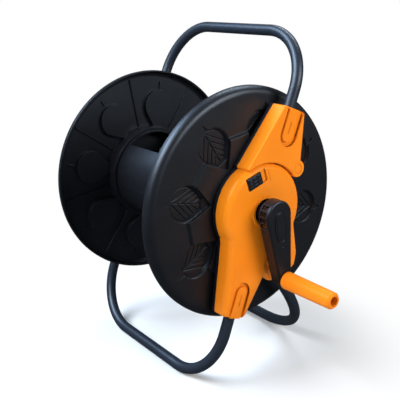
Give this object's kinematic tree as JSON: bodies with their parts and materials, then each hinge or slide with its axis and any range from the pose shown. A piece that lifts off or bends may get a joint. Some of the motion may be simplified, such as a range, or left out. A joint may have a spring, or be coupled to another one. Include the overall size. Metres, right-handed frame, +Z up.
{
  "type": "garden hose reel",
  "caption": "Portable garden hose reel: a crank turns a flanged drum between two brackets on bent tube feet, with a carrying handle, a reel lock and a rotating water inlet.",
  "frame": {"origin": "under the middle of the bounding box, on the floor that the two feet stand on", "axes": "+X along the reel's axle towards the crank, +Y to the rear, +Z up"},
  "size_m": [0.4846, 0.33, 0.493],
  "materials": {
    "frame_tube": "satin slate blue powder coat",
    "orange_plastic": "moulded orange plastic, satin",
    "black_plastic": "moulded near-black plastic, satin",
    "grey_plastic": "moulded dark grey acetal",
    "zinc_steel": "zinc plated",
    "seal_rubber": "smooth rubber"
  },
  "bodies": {
    "frame": {"handle_tube": "frame_tube", "front_foot_tube": "frame_tube", "rear_foot_tube": "frame_tube", "crank_side_base_plate": "black_plastic", "crank_side_upper_cover": "orange_plastic", "crank_side_lower_cover": "orange_plastic", "crank_side_cover_screws": "zinc_steel", "crank_side_tube_screws": "zinc_steel", "crank_side_cap_screw": "zinc_steel", "crank_side_screw_cap": "orange_plastic", "crank_side_bush": "grey_plastic", "inlet_side_base_plate": "black_plastic", "inlet_side_upper_cover": "orange_plastic", "inlet_side_lower_cover": "orange_plastic", "inlet_side_cover_screws": "zinc_steel", "inlet_side_tube_screws": "zinc_steel", "inlet_side_cap_screw": "zinc_steel", "inlet_side_screw_cap": "orange_plastic", "inlet_side_bush": "grey_plastic", "inlet_body": "black_plastic", "inlet_body_screws": "zinc_steel", "inlet_nut": "black_plastic", "inlet_nipple": "black_plastic"},
    "reel": {"crank_side_flange": "black_plastic", "inlet_side_flange": "black_plastic", "drum_upper_shell": "black_plastic", "drum_lower_shell": "black_plastic", "crank_side_drum_screws": "zinc_steel", "inlet_side_drum_screws": "zinc_steel", "crank_arm": "black_plastic", "crank_cap": "black_plastic", "crank_screw": "zinc_steel", "grip_pin": "zinc_steel", "water_shaft": "grey_plastic", "shaft_o_rings": "seal_rubber", "shaft_nut": "zinc_steel", "outlet_elbow": "grey_plastic", "outlet_nipple": "black_plastic"},
    "grip": {"grip": "orange_plastic"},
    "lock_slider": {"lock_slider": "black_plastic", "lock_slider_clip": "black_plastic"},
    "lock_bolt": {"lock_bolt": "grey_plastic"}
  },
  "joints": [
    {"name": "reel_spin", "type": "hinge", "parent": "frame", "child": "reel", "pos_m": [-0.0387, 0, 0.253], "axis": [1, 0, 0], "continuous": true},
    {"name": "grip_spin", "type": "hinge", "parent": "reel", "child": "grip", "pos_m": [0.2013, 0.01617, 0.15939], "axis": [1, 0, 0], "continuous": true},
    {"name": "lock_slide", "type": "slide", "parent": "frame", "child": "lock_slider", "axis": [0, 0.9455, 0.3256], "range_m": [0, 0.009]},
    {"name": "lock_bolt_slide", "type": "slide", "parent": "frame", "child": "lock_bolt", "axis": [0, 0.3256, -0.9455], "range_m": [0, 0.007]}
  ],
  "couplings": [
    {"joint": "lock_bolt_slide", "follows": "lock_slide", "ratio": 0.77778}
  ]
}
